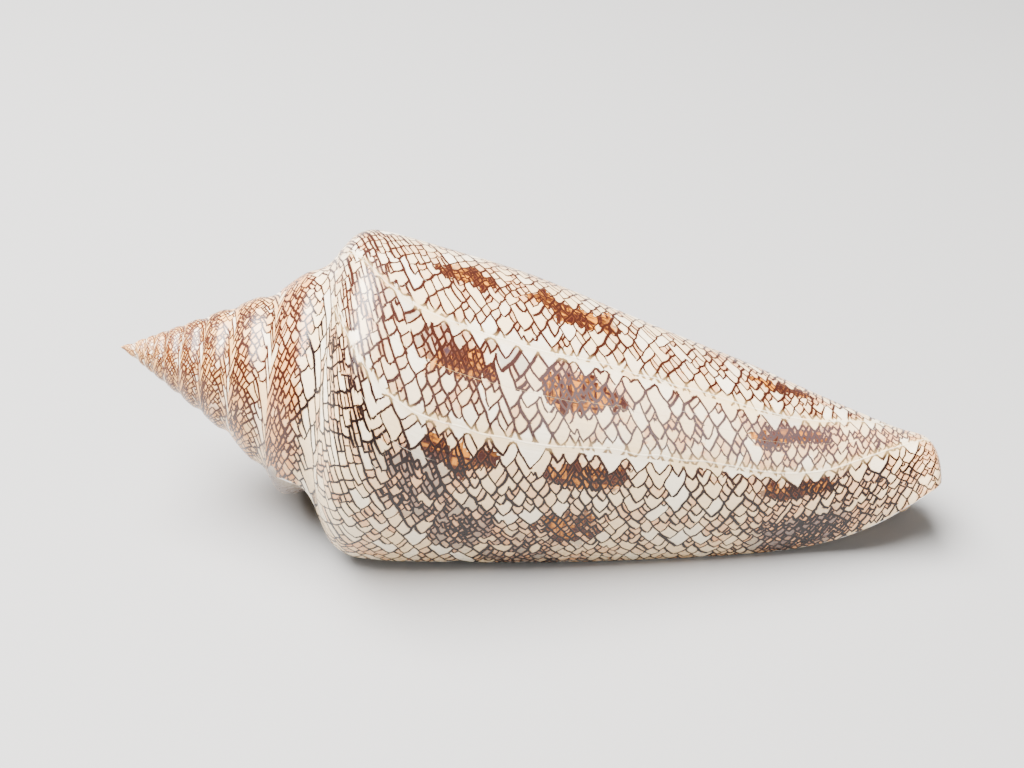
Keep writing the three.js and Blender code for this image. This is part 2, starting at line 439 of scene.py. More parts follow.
@dataclass
class NetWeaver:
    """Lays down the net: lines move both ways along the growing edge, cross, stop and branch."""

    growth: Growth
    markings: Markings
    first_turn: float = -8.3
    body_turn: float = -1.02
    steps_per_turn: int = 820
    slope: float = 0.6
    whole_girth: float = 130.0
    bin_mm: float = 0.5
    slow_wander: float = 0.22
    quick_wander: float = 0.3
    meeting_rush: float = 1.9
    meeting_reach: float = 0.5
    parting_lag: float = 0.6
    parting_reach: float = 0.6
    crowding: float = 0.8
    chance_of_end: float = 0.06
    branching: float = 1.42
    empty_room: float = 2.1
    restart_gap: float = 0.45 / 120
    measure_every: int = 6
    branch_every: int = 3
    seed: int = 20

    def __post_init__(self) -> None:
        """Sets up the places on the edge at which the growth is measured."""
        self.dice = random.Random(self.seed)
        self.low = -self.growth.ramp_width
        self.high = self.growth.outline_length() - 1.0
        self.bins = np.arange(self.low, self.high + self.bin_mm, self.bin_mm)
        self.done: list[tuple[list[tuple[float, float]], float]] = []
        self.lines: list[Line] = []

    def measure(self, turn: float) -> None:
        """Works out the edge's growth at a turn: millimetres along it, its pace, and the spacing wanted."""
        step = 0.002
        here = self.growth.skin(turn, self.bins)
        ahead = self.growth.skin(turn + step, self.bins)
        aside = self.growth.skin(turn, self.bins + 0.1)
        sideways = (aside - here) / 0.1
        self.mm = np.maximum(np.linalg.norm(sideways, axis=-1), 1e-3)
        grown = (ahead - here) / step
        girth = np.maximum(np.linalg.norm(grown, axis=-1), 1e-3)
        whole = self.whole_girth * math.exp(self.growth.per_turn * turn)
        shoulder_rush = 1 + 0.9 * (1 - fade(self.bins, 2, 16)) * (self.bins > 0)
        self.pace = girth**0.7 * whole**0.3 * shoulder_rush / self.mm
        self.want = self.markings.spacing(self.growth, turn, self.bins)
        lean = cloud(turn * 14, self.bins / 9, 21) + 0.5 * cloud(turn * 40, self.bins / 3, 22)
        steep = self.slope * (1 + 0.22 * cloud(turn * 20, self.bins / 5, 23))
        self.slopes = {1: steep * (1 + 0.28 * lean), -1: steep * (1 - 0.28 * lean)}
        self.wants = {1: self.want * np.exp(0.24 * lean), -1: self.want * np.exp(-0.24 * lean)}

    def at(self, table: Array, front: float) -> float:
        """Value of a measured table at a place on the edge."""
        index = int((front - self.low) / self.bin_mm)
        return float(table[min(max(index, 0), len(table) - 1)])

    def start(self, front: float, heading: int, turn: float) -> Line:
        """Starts a line.

        Args:
            front: where on the edge.
            heading: 1 towards the narrow end, -1 towards the suture.
            turn: growth at the start.

        Returns:
            The line.
        """
        half_width = 0.135 * math.exp(self.dice.gauss(0, 0.22))
        reach = min(max(math.exp(self.dice.gauss(0, 0.24)), 0.6), 2.0)
        line = Line(front, heading, self.dice.random() * 999, half_width, reach)
        line.trail.append((turn, front))
        return line

    def stop(self, line: Line, turn: float) -> None:
        """Ends a line and keeps its trail."""
        line.trail.append((turn, line.front))
        if len(line.trail) > 2:
            self.done.append((line.trail, line.half_width))

    def advance(self, turn: float, step: float) -> None:
        """Moves all lines on by one step of growth, flatter as two of them are about to meet."""
        for index, line in enumerate(self.lines):
            ahead = index + line.heading
            gap = 9.0
            if 0 <= ahead < len(self.lines) and self.lines[ahead].heading != line.heading:
                gap = abs(self.lines[ahead].front - line.front) * self.at(self.mm, line.front)
            wander = self.slow_wander * math.sin(line.travel * 1.1 + line.seed)
            wander += self.quick_wander * math.sin(line.travel * 2.9 + line.seed * 3)
            speed = self.at(self.slopes[line.heading], line.front) * (1 + wander)
            speed *= 1 + self.meeting_rush * math.exp(-gap / self.meeting_reach)
            speed *= 1 - self.parting_lag * math.exp(-line.since_meeting / self.parting_reach)
            pace = self.at(self.pace, line.front)
            line.front += line.heading * speed * pace * step
            line.since_meeting += pace * self.at(self.mm, line.front) * step
            line.travel += pace * self.at(self.mm, line.front) * step

    def crowded(self, index: int) -> bool:
        """Whether a line has a neighbour of its own heading too close by."""
        line = self.lines[index]
        nearest = 99.0
        for way in (-1, 1):
            other = index + way
            while 0 <= other < len(self.lines) and self.lines[other].heading != line.heading:
                other += way
            if 0 <= other < len(self.lines):
                nearest = min(nearest, abs(self.lines[other].front - line.front))
        nearest *= self.at(self.mm, line.front)
        room = self.crowding * self.at(self.wants[line.heading], line.front)
        return nearest < room or self.dice.random() < self.chance_of_end

    def meet(self, turn: float) -> None:
        """Lets lines that have met cross, stop at each other or run together."""
        index = 0
        while index < len(self.lines) - 1:
            left, right = self.lines[index], self.lines[index + 1]
            if left.front < right.front:
                index += 1
                continue
            middle = (left.front + right.front) / 2
            left.front = right.front = middle
            if left.heading == right.heading:
                loser = index if left.heading > 0 else index + 1
                self.stop(self.lines.pop(loser), turn)
                continue
            if left.heading < 0:
                self.lines[index], self.lines[index + 1] = right, left
                index += 1
                continue
            ends = [self.crowded(index), self.crowded(index + 1)]
            for line, ended in ((left, ends[0]), (right, ends[1])):
                if ended:
                    self.stop(line, turn)
                else:
                    line.trail.append((turn, middle))
                    line.since_meeting = 0.0
            kept = [line for line, ended in ((right, ends[1]), (left, ends[0])) if not ended]
            self.lines[index : index + 2] = kept
            index += len(kept)

    def branch(self, turn: float, low: float, high: float) -> None:
        """Starts new lines where those of one heading have drifted too far apart.

        Args:
            turn: growth.
            low: start of the edge in use.
            high: end of the edge in use.
        """
        born: list[Line] = []
        for heading in (1, -1):
            same = [line for line in self.lines if line.heading == heading]
            marks_and_painted_light = [(low, 1.0)] + [(line.front, line.reach) for line in same] + [(high, 1.0)]
            for (start, reach), (end, _) in zip(marks_and_painted_light, marks_and_painted_light[1:]):
                middle = (start + end) / 2
                mm = self.at(self.mm, middle)
                wanted = self.branching * reach * self.at(self.wants[heading], middle)
                if (end - start) * mm < wanted:
                    continue
                inner = [
                    line
                    for line in self.lines
                    if line.heading != heading
                    and start + 0.25 * (end - start) < line.front < end - 0.25 * (end - start)
                    and line.since_meeting > 0.35
                ]
                if inner:
                    parent = self.dice.choice(inner)
                    parent.trail.append((turn, parent.front))
                    born.append(self.start(parent.front, heading, turn))
                elif (end - start) * mm > self.empty_room * wanted:
                    born += [self.start(middle, 1, turn), self.start(middle, -1, turn)]
        for line in born:
            line.since_meeting = 0.0
            line.front += line.heading * 1e-4
        self.lines = sorted(self.lines + born, key=lambda line: line.front)

    def restart(self, turn: float) -> None:
        """Stops the lines on the body at a scar and starts pairs, so that white tents hang from the scar."""
        kept = []
        for line in self.lines:
            if line.front < 0.5:
                kept.append(line)
            else:
                self.stop(line, turn)
        place = 1.0
        after = turn + self.restart_gap
        while place < self.high - 1:
            pair = [self.start(place, -1, after), self.start(place, 1, after)]
            kept += pair
            wanted = self.at(self.want, place) / self.at(self.mm, place)
            place += wanted * min(max(math.exp(self.dice.gauss(0.5, 0.45)), 0.8), 3.4)
        self.lines = sorted(kept, key=lambda line: line.front)

    def weave(self) -> list[tuple[list[tuple[float, float]], float]]:
        """Grows the whole net.

        Returns:
            Trails of turn and front, each with its line's half width.
        """
        turn = self.first_turn
        step = 1 / self.steps_per_turn
        scars = sorted(self.markings.scars)
        count = 0
        while turn < self.growth.shoulder_lead:
            high = self.high if turn > self.body_turn else 0.0
            if count % self.measure_every == 0:
                self.measure(turn)
            self.advance(turn, step)
            inside = []
            for line in self.lines:
                if self.low < line.front < high:
                    inside.append(line)
                else:
                    line.front = min(max(line.front, self.low), high)
                    self.stop(line, turn)
            self.lines = inside
            self.meet(turn)
            if count % self.branch_every == 0:
                self.branch(turn, self.low, high)
                for line in self.lines:
                    line.trail.append((turn, line.front))
            if scars and turn >= scars[0]:
                self.restart(scars.pop(0))
            turn += step
            count += 1
        for line in self.lines:
            self.stop(line, self.growth.shoulder_lead)
        return self.done


@dataclass(frozen=True)
class Hollow:
    """The hollow inside the last whorl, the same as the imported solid's.

    "share" is a place between suture and narrow end: 0 at the suture, ramp_share at the shoulder and 1 at
    the end.
    """

    growth: Growth
    open_turns: float = 0.75
    ramp_share: float = 4 / 30
    lip_thickness: float = 0.9
    wall_thickness: float = 1.7
    thickening: float = 0.25
    roof_drop: float = 0.03
    roof_turns: float = 0.12
    roof_slope: float = 36.0
    roof_wall: float = 0.5
    roof_share: float = 4 / 30
    lip_closing_share: float = 3 / 30
    spread_turns: float = 0.3
    pillar_end: float = 0.3

    def front(self, share: Array) -> Array:
        """Place on the growing edge from a share."""
        growth = self.growth
        on_ramp = growth.ramp_width * (share / self.ramp_share - 1)
        on_body = growth.outline_length() * (share - self.ramp_share) / (1 - self.ramp_share)
        return np.where(share < self.ramp_share, on_ramp, np.minimum(on_body, growth.outline_length()))

    def outside(self, turn: Array, share: Array) -> tuple[Array, Array, Array]:
        """The outer surface as along, out and turn."""
        growth, front = self.growth, self.front(share)
        on_ramp = growth.ramp(turn, np.clip(share / self.ramp_share, 0, 1))
        on_body = growth.body(turn, np.maximum(front, 0))
        return tuple(np.where(share < self.ramp_share, a, b) for a, b in zip(on_ramp, on_body))

    def floor(self, turn: Array, share: Array) -> tuple[Array, Array, Array]:
        """The whorl before, seen through the aperture, with the room for the roof left at the suture."""
        growth = self.growth
        inward = growth.shoulder_lead - 1 - turn
        at_lip = np.maximum(0, (share - self.ramp_share) / (1 - self.ramp_share))
        roof = self.roof_drop * fade(inward, 0, self.roof_turns)
        spread = fade(inward, 0, self.spread_turns)
        down = roof + (1 - roof) * (at_lip + (share - at_lip) * spread)
        along, out, stands = growth.body(turn, down * growth.outline_length())
        near_roof = np.maximum(0, 1 - share / self.roof_share) * np.clip(inward * self.roof_slope, 0, 1)
        return along, out - self.roof_wall * near_roof, stands

    def wall(self, turn: Array, share: Array) -> tuple[Array, Array, Array]:
        """The inner side of the last whorl's wall, which closes on the floor at the suture."""
        growth = self.growth
        along, out, stands = self.outside(turn, share)
        step = 0.01 / 30
        next_along, next_out, _ = self.outside(turn, share + step)
        last_along, last_out, _ = self.outside(turn, share - step)
        run, rise = next_along - last_along, next_out - last_out
        size = np.maximum(np.hypot(run, rise), 1e-9)
        inward = growth.shoulder_lead - turn
        thicker = self.wall_thickness - self.lip_thickness
        thick = self.lip_thickness + thicker * fade(inward, 0, self.thickening)
        slim = 1 - 0.5 * fade(along, 100, growth.length)
        floor = self.floor(turn - 1, share)
        closing_share = self.lip_closing_share + (self.roof_share - self.lip_closing_share) * fade(
            inward, 0, self.roof_turns
        )
        closing = np.maximum(0, 1 - share / closing_share) ** 1.5
        inner = (along + rise / size * thick * slim, out - run / size * thick * slim, stands)
        target = (floor[0], floor[1], floor[2] + 1)
        return tuple(a + (b - a) * closing for a, b in zip(inner, target))


class Facing(Enum):
    """Which way a sheet's faces look."""

    AWAY = "away from the axis"
    END = "towards the narrow end"


@dataclass(frozen=True)
class Sheet:
    """One sheet of the surface, with columns along the growth and rows along the growing edge."""

    name: str
    columns: int
    rows: int
    point_at: Growing
    growth_at: Callable[[Array, Array], "tuple[Array, Array]"]
    netted: bool = True
    facing: Facing = Facing.AWAY
    facing_share: float = 1.0

    def made(self, rested: Callable[[Array], Array]) -> tuple[bpy.types.Mesh, Array, Array]:
        """Makes the sheet's mesh.

        Args:
            rested: turns points to the resting pose.

        Returns:
            The mesh in millimetres, and the column and the row of each vertex.
        """
        bm = bmesh.new()
        bmesh.ops.create_grid(bm, x_segments=self.columns, y_segments=self.rows, size=1)
        mesh = bpy.data.meshes.new(self.name)
        bm.to_mesh(mesh)
        bm.free()
        flat = np.empty(len(mesh.vertices) * 3)
        mesh.vertices.foreach_get("co", flat)
        flat = flat.reshape(-1, 3)
        column = np.rint((flat[:, 0] + 1) / 2 * self.columns).astype(int)
        row = np.rint((flat[:, 1] + 1) / 2 * self.rows).astype(int)
        points = self.point_at(column / self.columns, row / self.rows)
        mesh.vertices.foreach_set("co", rested(points).ravel())
        mesh.update()
        self.turn_outward(mesh, points, column)
        return mesh, column, row

    def turn_outward(self, mesh: bpy.types.Mesh, points: Array, column: Array) -> None:
        """Flips the faces if they look the wrong way.

        Args:
            mesh: the sheet's mesh.
            points: its vertices before the turn to the resting pose.
            column: the column of each vertex.
        """
        corners = np.empty(len(mesh.loops), int)
        mesh.loops.foreach_get("vertex_index", corners)
        quads = corners.reshape(-1, 4)
        tested = (column[quads] <= self.facing_share * self.columns).all(1)
        middle = points[quads[tested]]
        normal = np.cross(middle[:, 2] - middle[:, 0], middle[:, 3] - middle[:, 1])
        wanted = middle.mean(1) * [0, 1, 1] if self.facing is Facing.AWAY else np.array([[1.0, 0, 0]])
        if (normal * wanted).sum() < 0:
            mesh.flip_normals()


@dataclass
class Segments:
    """The net's lines cut into short straight pieces."""

    turn: Array
    front: Array
    start: Array
    end: Array
    width: Array
    open_start: Array
    open_end: Array


@dataclass(frozen=True)
class NetStamp:
    """Writes the lines' distances on faces, so that the material can draw them sharp at any size."""

    growth: Growth
    line_reach: float = 0.24
    channels: int = 8
    far: float = 9.0
    base_half_width: float = 0.135

    def cut(self, trails: list[tuple[list[tuple[float, float]], float]], shortest: float = 0.45) -> Segments:
        """Cuts trails into pieces of about equal length, with a cut at the shoulder.

        Args:
            trails: the net's trails.
            shortest: least length of a piece in millimetres.

        Returns:
            The pieces.
        """
        rows = []
        for trail, half_width in trails:
            turn, front = np.array(trail).T
            points = self.growth.skin(turn, front)
            size = np.concatenate([[0], np.cumsum(np.linalg.norm(np.diff(points, axis=0), axis=1))])
            if size[-1] < 0.05:
                continue
            parts = max(int(size[-1] / shortest), 1)
            place = np.linspace(0, size[-1], parts + 1)
            turn, front = np.interp(place, size, turn), np.interp(place, size, front)
            first = np.arange(parts) == 0
            last = np.arange(parts) == parts - 1
            rows.append(
                np.stack(
                    [turn[:-1], front[:-1], turn[1:], front[1:], np.full(parts, half_width), first, last], 1
                )
            )
        rows = np.concatenate(rows)
        crossing = rows[:, 1] * rows[:, 3] < 0
        share = rows[crossing, 1] / (rows[crossing, 1] - rows[crossing, 3])
        before, after = rows[crossing].copy(), rows[crossing].copy()
        cut_turn = before[:, 0] + share * (before[:, 2] - before[:, 0])
        before[:, 2] = after[:, 0] = cut_turn
        before[:, 3] = np.sign(before[:, 1]) * 1e-6
        after[:, 1] = np.sign(after[:, 3]) * 1e-6
        before[:, 6] = after[:, 5] = 0
        rows = np.concatenate([rows[~crossing], before, after])
        return Segments(
            turn=(rows[:, 0] + rows[:, 2]) / 2,
            front=(rows[:, 1] + rows[:, 3]) / 2,
            start=self.growth.skin(rows[:, 0], rows[:, 1]),
            end=self.growth.skin(rows[:, 2], rows[:, 3]),
            width=rows[:, 4] / self.base_half_width,
            open_start=rows[:, 5] > 0,
            open_end=rows[:, 6] > 0,
        )

    def stamp(self, cut: Segments, grid: Array, turn: Array, front: Array) -> Array:
        """Distances of the nearest lines from the corners of each face.

        Args:
            cut: the line pieces.
            grid: points of the sheet by column and row.
            turn: growth of each column, evenly spaced.
            front: place on the growing edge of each row, evenly spaced.

        Returns:
            Signed distances by column, row, corner and channel, in line widths.
        """
        columns, rows = grid.shape[0] - 1, grid.shape[1] - 1
        corners = np.stack([grid[:-1, :-1], grid[1:, :-1], grid[1:, 1:], grid[:-1, 1:]], 2)
        centre = corners.mean(2)
        normal = np.cross(corners[:, :, 2] - corners[:, :, 0], corners[:, :, 3] - corners[:, :, 1])
        normal /= np.maximum(np.linalg.norm(normal, axis=-1, keepdims=True), 1e-12)
        half = np.linalg.norm(corners - centre[:, :, None], axis=-1).max(2)
        wide = np.linalg.norm(corners[:, :, 1] - corners[:, :, 0], axis=-1)
        tall = np.linalg.norm(corners[:, :, 3] - corners[:, :, 0], axis=-1)
        at_column = np.floor((cut.turn - turn[0]) / (turn[1] - turn[0])).astype(int)
        at_row = np.floor((cut.front - front[0]) / (front[1] - front[0])).astype(int)
        inside = (at_column >= 0) & (at_column < columns) & (at_row >= 0) & (at_row < rows)
        chosen = np.nonzero(inside)[0]
        at_column, at_row = at_column[chosen], at_row[chosen]
        start, end = cut.start[chosen], cut.end[chosen]
        size = np.linalg.norm(end - start, axis=1)
        heading = (end - start) / np.maximum(size, 1e-9)[:, None]
        room = size / 2 + 0.5
        need_columns = np.clip(np.ceil(room / np.maximum(wide[at_column, at_row], 0.02)), 1, 9)
        need_rows = np.clip(np.ceil(room / np.maximum(tall[at_column, at_row], 0.02)), 1, 5)
        found: list[tuple[Array, Array, Array]] = []
        for column_reach in (2, 3, 4, 6, 9):
            for row_reach in (2, 3, 5):
                mine = (need_columns <= column_reach) & (need_rows <= row_reach)
                need_columns[mine] = 99
                picked = np.nonzero(mine)[0]
                for first in range(0, len(picked), 6000):
                    part = picked[first : first + 6000]
                    step_column, step_row = np.meshgrid(
                        np.arange(-column_reach, column_reach + 1), np.arange(-row_reach, row_reach + 1)
                    )
                    column = at_column[part, None] + step_column.ravel()
                    row = at_row[part, None] + step_row.ravel()
                    valid = (column >= 0) & (column < columns) & (row >= 0) & (row < rows)
                    which, _ = np.nonzero(valid)
                    column, row, source = column[valid], row[valid], part[which]
                    away = centre[column, row] - start[source]
                    sideways = np.cross(normal[column, row], heading[source])
                    ahead = (away * heading[source]).sum(1)
                    aside = (away * sideways).sum(1)
                    lap = 0.6 * half[column, row]
                    open_start, open_end = cut.open_start[chosen[source]], cut.open_end[chosen[source]]
                    keep = (
                        (np.abs(aside) < self.line_reach * cut.width[chosen[source]] + half[column, row])
                        & (ahead > np.where(open_start, 0.0, -lap))
                        & (ahead < size[source] + np.where(open_end, 0.0, lap))
                    )
                    column, row, source, sideways = column[keep], row[keep], source[keep], sideways[keep]
                    away = corners[column, row] - start[source][:, None]
                    distance = (away * sideways[:, None]).sum(-1) / cut.width[chosen[source]][:, None]
                    found.append((column * rows + row, np.abs(aside[keep]), distance))
        result = np.full((columns * rows, 4, self.channels), self.far)
        if not found:
            return result.reshape(columns, rows, 4, self.channels)
        face = np.concatenate([item[0] for item in found])
        near = np.concatenate([item[1] for item in found])
        distance = np.concatenate([item[2] for item in found])
        order = np.lexsort((near, face))
        face, distance = face[order], distance[order]
        first_of_face = np.concatenate([[True], face[1:] != face[:-1]])
        start_at = np.maximum.accumulate(np.where(first_of_face, np.arange(len(face)), 0))
        rank = np.arange(len(face)) - start_at
        keep = rank < self.channels
        result[face[keep], :, rank[keep]] = distance[keep]
        return result.reshape(columns, rows, 4, self.channels)

    def cells(self, distance: Array, grid: Array) -> tuple[Array, Array, Array]:
        """Finds the cells of the net.

        Args:
            distance: signed distances from stamp().
            grid: points of the sheet by column and row.

        Returns:
            By vertex, the cell's number, a random value that is the same all over it, and its width in
            millimetres.
        """
        columns, rows = grid.shape[0] - 1, grid.shape[1] - 1
        closed_across = np.zeros((columns, rows + 1), bool)
        closed_down = np.zeros((columns + 1, rows), bool)

        def cut_between(one: int, other: int) -> Array:
            """Whether a line passes between two corners of each face."""
            return (distance[:, :, one] * distance[:, :, other] < 0).any(-1)

        closed_across[:, :-1] |= cut_between(0, 1)
        closed_across[:, 1:] |= cut_between(3, 2)
        closed_down[:-1] |= cut_between(0, 3)
        closed_down[1:] |= cut_between(1, 2)
        label = np.arange((columns + 1) * (rows + 1)).reshape(columns + 1, rows + 1)
        top = label.size
        for _ in range(40):
            across = np.where(closed_across, top, np.minimum(label[:-1], label[1:]))
            label[:-1] = np.minimum(label[:-1], across)
            label[1:] = np.minimum(label[1:], across)
            down = np.where(closed_down, top, np.minimum(label[:, :-1], label[:, 1:]))
            label[:, :-1] = np.minimum(label[:, :-1], down)
            label[:, 1:] = np.minimum(label[:, 1:], down)
            label = label.ravel()[label]
        wide = np.linalg.norm(np.gradient(grid, axis=0), axis=-1)
        tall = np.linalg.norm(np.gradient(grid, axis=1), axis=-1)
        area = np.bincount(label.ravel(), (wide * tall).ravel(), minlength=top)
        mixed = np.sin(label * 12.9898) * 43758.5453
        return label, mixed - np.floor(mixed), np.sqrt(area[label])


def linear(hex_colour: str) -> tuple[float, float, float, float]:
    """Linear colour from an sRGB hex one."""
    values = [int(hex_colour[i : i + 2], 16) / 255 for i in (1, 3, 5)]
    red, green, blue = (v / 12.92 if v <= 0.04045 else ((v + 0.055) / 1.055) ** 2.4 for v in values)
    return red, green, blue, 1.0


@dataclass
class NodeTree:
    """A material's nodes."""

    material: bpy.types.Material

    def add(self, kind: str, settings: dict, inputs: dict) -> bpy.types.NodeSocket:
        """Adds a node.

        Args:
            kind: the node's type name.
            settings: its properties by name.
            inputs: a value or an output socket for each input, by name or number.

        Returns:
            The node's first output, or its first input if it has none.
        """
        tree = self.material.node_tree
        node = tree.nodes.new(kind)
        for name, value in settings.items():
            setattr(node, name, value)
        for name, value in inputs.items():
            if isinstance(value, bpy.types.NodeSocket):
                tree.links.new(value, node.inputs[name])
            else:
                node.inputs[name].default_value = value
        return node.outputs[0] if node.outputs else node.inputs[0]

    def sum(self, operation: str, *values: object) -> bpy.types.NodeSocket:
        """Chains one arithmetic operation over two or more values."""
        total = values[0]
        for value in values[1:]:
            total = self.add("ShaderNodeMath", {"operation": operation}, {0: total, 1: value})
        return total

    def blend(self, share: object, low: object, high: object, way: str = "MIX") -> bpy.types.NodeSocket:
        """Mixes two colours.

        Args:
            share: 0 for low to 1 for high.
            low: first colour.
            high: second colour.
            way: how they mix.

        Returns:
            The mixed colour's output.
        """
        mixed = self.add(
            "ShaderNodeMix", {"data_type": "RGBA", "blend_type": way}, {"Factor": share, 6: low, 7: high}
        )
        return mixed.node.outputs[2]

    def ease(self, value: object, start: float, end: float) -> bpy.types.NodeSocket:
        """Smooth step from 0 at start to 1 at end."""
        return self.add(
            "ShaderNodeMapRange",
            {"interpolation_type": "SMOOTHSTEP"},
            {"Value": value, "From Min": start, "From Max": end},
        )


@dataclass(frozen=True)
class ShellFinish:
    """Aragonite shell with its natural porcelain gloss.

    It gives the eye a creamy ground under a net of dark brown lines, orange-brown bands of stain, a
    yellowish rim where growth once stopped, and a soft clear gloss over all of it. A painted sheen greys
    the lines between the scars, and painted shade greys the hollow's edges by the opening.
    """

    ground: str = "#F6D6A4"
    white_cell: str = "#FFF5DE"
    small_cell: str = "#E2A26C"
    stain: str = "#CC7A12"
    stain_deep: str = "#35120A"
    dark_line: str = "#140604"
    red_line: str = "#381508"
    early_line: str = "#56250A"
    # Grey of the lines under the painted sheen: a painted highlight between the scars.
    sheen_grey_line: str = "#8E868A"
    # Smoke grey: the body's smoky patches, and also the painted shade on the hollow's edges by the opening.
    smoke: str = "#574C54"
    rim: str = "#E3BE7E"
    ramp_glow: str = "#DC9048"
    early_glow: str = "#F0A23E"
    inside: str = "#F1ECE4"
    mottle: str = "#D9C2A6"
    halo: str = "#93552C"
    turn_mm: float = 135.0

    def material(self) -> bpy.types.Material:
        """Builds the material.

        Returns:
            The material, which reads the attributes written by ConeShell.
        """
        material = bpy.data.materials.new("aragonite_shell_porcelain_gloss")
        material.use_nodes = True
        material.node_tree.nodes.clear()
        tree = NodeTree(material)
        add, calc, blend, ease = tree.add, tree.sum, tree.blend, tree.ease

        growth = add("ShaderNodeAttribute", {"attribute_name": "growth"}, {})
        marks_and_painted_light = add("ShaderNodeAttribute", {"attribute_name": "marks_and_painted_light"}, {})
        cell = add("ShaderNodeAttribute", {"attribute_name": "cell"}, {})
        split_growth = add("ShaderNodeSeparateColor", {}, {0: growth}).node
        split_marks_and_painted_light = add("ShaderNodeSeparateColor", {}, {0: marks_and_painted_light}).node
        split_cell = add("ShaderNodeSeparateColor", {}, {0: cell}).node
        turn, along, whorl = split_growth.outputs
        part = growth.node.outputs["Alpha"]
        scar, stained, smoke_and_painted_shade = split_marks_and_painted_light.outputs
        # Alpha of this attribute: the painted sheen, which greys the lines in place of a highlight.
        painted_sheen = marks_and_painted_light.node.outputs["Alpha"]
        chance, room, glow = split_cell.outputs

        lines = []
        for name in ("net_a", "net_b"):
            net = add("ShaderNodeAttribute", {"attribute_name": name}, {})
            channels = add("ShaderNodeSeparateColor", {}, {0: net}).node.outputs
            lines += [calc("ABSOLUTE", c, 0.0) for c in (*channels, net.node.outputs["Alpha"])]
        nearest = calc("MINIMUM", *lines)

        flat = add("ShaderNodeCombineXYZ", {}, {0: calc("MULTIPLY", turn, self.turn_mm), 1: along})
        place = add("ShaderNodeTexCoord", {}, {}).node.outputs["Object"]
        in_mm = add("ShaderNodeVectorMath", {"operation": "SCALE"}, {0: place, "Scale": 1000.0})

        def noise(vector: object, scale: object, detail: float, seed: float) -> bpy.types.NodeSocket:
            """Noise over a vector stretched by a scale in features per unit."""
            way = {"operation": "MULTIPLY_ADD"}
            moved = add("ShaderNodeVectorMath", way, {0: vector, 1: scale, 2: (seed,) * 3})
            return add("ShaderNodeTexNoise", {}, {"Vector": moved, "Scale": 1.0, "Detail": detail})

        # Wobble of a line's edge, in features of about 0.3 mm.
        ragged = noise(in_mm, (3.2, 3.2, 3.2), 2.0, 0.0)
        wide = noise(in_mm, (0.35, 0.35, 0.35), 1.0, 7.0)
        half_width = calc("ADD", calc("MULTIPLY", ragged, 0.07), calc("MULTIPLY", wide, 0.07), 0.062)
        thinner = calc("MULTIPLY", half_width, calc("SUBTRACT", 1.0, calc("MULTIPLY", whorl, 0.8)))
        heavier = calc("ADD", calc("MULTIPLY", stained, 0.12), calc("MULTIPLY", smoke_and_painted_shade, 0.25))
        thinner = calc("MULTIPLY", thinner, calc("ADD", 1.0, heavier))
        at_end = calc("SUBTRACT", 1.0, calc("MULTIPLY", ease(along, 103.0, 111.0), 0.5))
        over = calc("SUBTRACT", nearest, calc("MULTIPLY", thinner, at_end))
        line = calc("SUBTRACT", 1.0, ease(over, -0.035, 0.035))
        edge = calc("SUBTRACT", 1.0, ease(over, 0.0, 0.13))

        # The ground: wide cells cool and white, narrow ones pinkish.
        size = calc("ADD", room, calc("MULTIPLY", chance, 0.8), calc("MULTIPLY", whorl, 7.0))
        pale = blend(ease(size, 0.9, 2.2), linear(self.small_cell), linear(self.ground))
        mottled = noise(in_mm, (0.5, 0.5, 0.5), 3.0, 3.0)
        pale = blend(calc("MULTIPLY", ease(mottled, 0.4, 0.75), 0.25), pale, linear(self.mottle))
        grown_room = calc("ADD", room, calc("MULTIPLY", whorl, 6.0))
        cool = calc("MULTIPLY", ease(grown_room, 1.2, 2.6), ease(chance, 0.3, 0.75), 0.75)
        pale = blend(cool, pale, linear(self.white_cell))

        # Streaks of deeper stain run with the growth and hardly along the shell.
        with_growth = noise(flat, (0.16, 1.15, 1.0), 3.0, 11.0)
        with_lip = noise(flat, (1.1, 0.12, 1.0), 3.0, 13.0)
        streak = calc("MAXIMUM", with_growth, with_lip)
        broad = noise(flat, (0.25, 0.35, 1.0), 2.0, 19.0)
        depth = ease(calc("ADD", streak, calc("MULTIPLY", broad, 0.5)), 0.67, 0.82)
        rust = blend(depth, linear(self.stain), linear(self.stain_deep))
        seen = ease(calc("ADD", calc("MULTIPLY", chance, 0.5), stained), 0.68, 0.8)
        coloured = blend(seen, pale, rust)
        patchy = ease(calc("ADD", chance, calc("MULTIPLY", broad, 0.6)), 0.4, 0.9)
        # Smoky grey: real smoky patches on the body, and painted shade on the hollow's recessed edges by the
        # opening.
        smoke_and_shade_share = calc("MULTIPLY", smoke_and_painted_shade, patchy, 0.85)
        coloured = blend(smoke_and_shade_share, coloured, linear(self.smoke))

        # The ramp glows orange by the suture; the early whorls do all over.
        lit = calc("ADD", calc("MULTIPLY", chance, 0.7), glow, calc("MULTIPLY", broad, 1.2))
        less = calc("MULTIPLY", ease(whorl, 0.05, 0.3), 0.45)
        glows = calc("MULTIPLY", ease(lit, 1.6, 2.05), calc("SUBTRACT", 0.85, less))
        coloured = blend(glows, coloured, linear(self.ramp_glow))
        spared = calc("MULTIPLY", ease(chance, 0.62, 0.85), 0.58)
        early = calc("MULTIPLY", ease(whorl, 0.02, 0.2), calc("SUBTRACT", 0.66, spared))
        coloured = blend(early, coloured, linear(self.early_glow))

